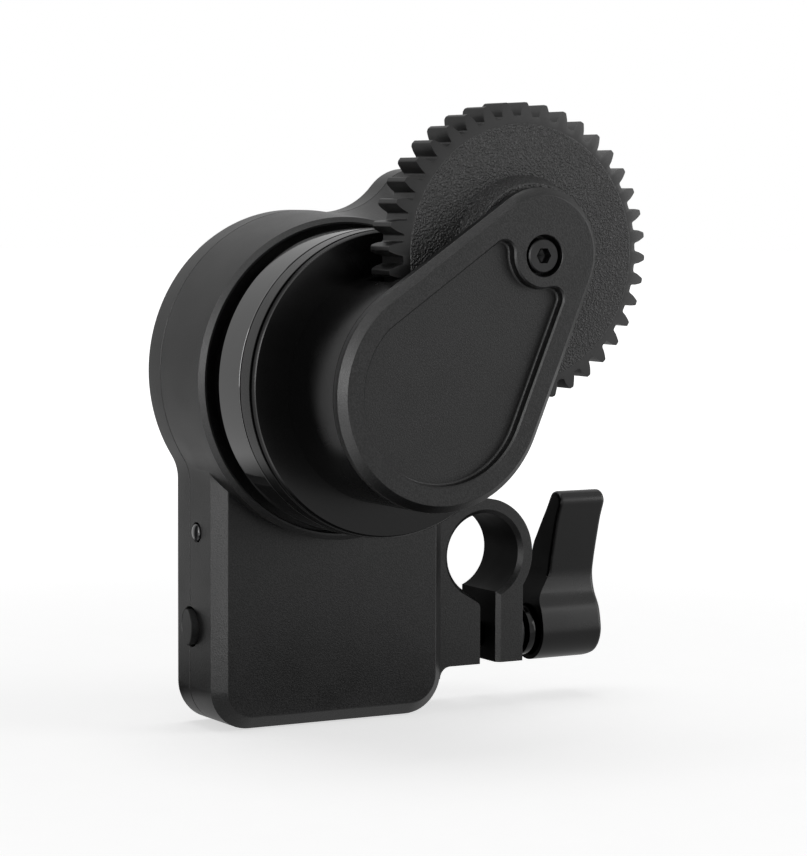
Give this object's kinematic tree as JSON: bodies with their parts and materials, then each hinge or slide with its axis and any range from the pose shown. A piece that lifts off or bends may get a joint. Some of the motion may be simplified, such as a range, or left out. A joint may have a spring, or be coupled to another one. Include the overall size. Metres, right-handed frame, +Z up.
{
  "type": "lens follow focus",
  "caption": "Motor follow focus that clamps on a round rod: flat housing, round drum, swinging arm with a large toothed wheel for a lens, and a clamp lever.",
  "frame": {"origin": "centre of the rod clamp's bore, half-way through the clamp", "axes": "+Y along the rod and the motor's axis, from the lens gear to the back of the housing; +Z up; +X towards the clamp lever"},
  "size_m": [0.0582, 0.0368, 0.072],
  "materials": {
    "black_anodised": "fine bead-blasted black anodising",
    "satin_black": "smooth satin black anodising",
    "black_nylon": "moulded black nylon, leather grain on the flat faces",
    "black_steel": "black oxide",
    "bright_steel": "bright turned steel",
    "bronze": "plain sintered bronze",
    "copper_windings": "enamelled copper wire on an iron core",
    "magnet": "plated magnet",
    "circuit_board": "green solder mask",
    "dark_plastic": "matt black plastic",
    "smoked_lens": "smooth smoked plastic"
  },
  "bodies": {
    "housing": {"front_shell": "black_anodised", "rear_cover": "black_anodised", "cover_screw_1": "black_steel", "cover_screw_2": "black_steel", "cover_screw_3": "black_steel", "cover_screw_4": "black_steel", "cover_screw_5": "black_steel", "circuit_board": "circuit_board", "driver_chip": "dark_plastic", "button_switch": "dark_plastic", "control_socket": "bright_steel", "indicator_lens": "smoked_lens", "encoder_board": "circuit_board", "motor_stator": "copper_windings", "rear_bearing": "bright_steel", "friction_washer": "bronze", "thread_insert": "bright_steel", "thrust_washer": "black_steel"},
    "arm": {"arm_base": "black_anodised", "drum_ring": "satin_black", "arm_hub": "black_anodised", "arm_cover": "black_anodised", "base_screw_1": "black_steel", "base_screw_2": "black_steel", "base_screw_3": "black_steel", "retaining_clip": "bright_steel", "front_bearing": "bright_steel", "gear_axle": "bright_steel", "axle_screw": "black_steel"},
    "gear": {"lens_gear": "black_nylon", "gear_bush_front": "bronze", "gear_bush_rear": "bronze"},
    "rotor": {"motor_shaft": "bright_steel", "rotor_core": "bright_steel", "rotor_magnet": "magnet", "encoder_magnet": "magnet", "drive_pinion": "bright_steel"},
    "lever": {"clamp_lever": "black_anodised", "clamp_screw": "bright_steel"},
    "button": {"push_button": "dark_plastic"}
  },
  "joints": [
    {"name": "arm_swing", "type": "hinge", "parent": "housing", "child": "arm", "pos_m": [-0.0219, -0.01, 0.0221], "axis": [0, -1, 0], "range_deg": [-80, 160]},
    {"name": "gear_spin", "type": "hinge", "parent": "arm", "child": "gear", "pos_m": [-0.00956, -0.025, 0.03681], "axis": [0, -1, 0], "continuous": true},
    {"name": "pinion_spin", "type": "hinge", "parent": "arm", "child": "rotor", "pos_m": [-0.0219, -0.025, 0.0221], "axis": [0, -1, 0], "continuous": true},
    {"name": "lever_turn", "type": "hinge", "parent": "housing", "child": "lever", "pos_m": [0.013, 0.00011, -0.0102], "axis": [1, 0, 0], "range_deg": [0, 270]},
    {"name": "button_press", "type": "slide", "parent": "housing", "child": "button", "axis": [1, 0, 0], "range_m": [0, 0.0006], "stiffness_N_per_m": 600}
  ],
  "couplings": [
    {"joint": "pinion_spin", "follows": "gear_spin", "ratio": -5}
  ]
}
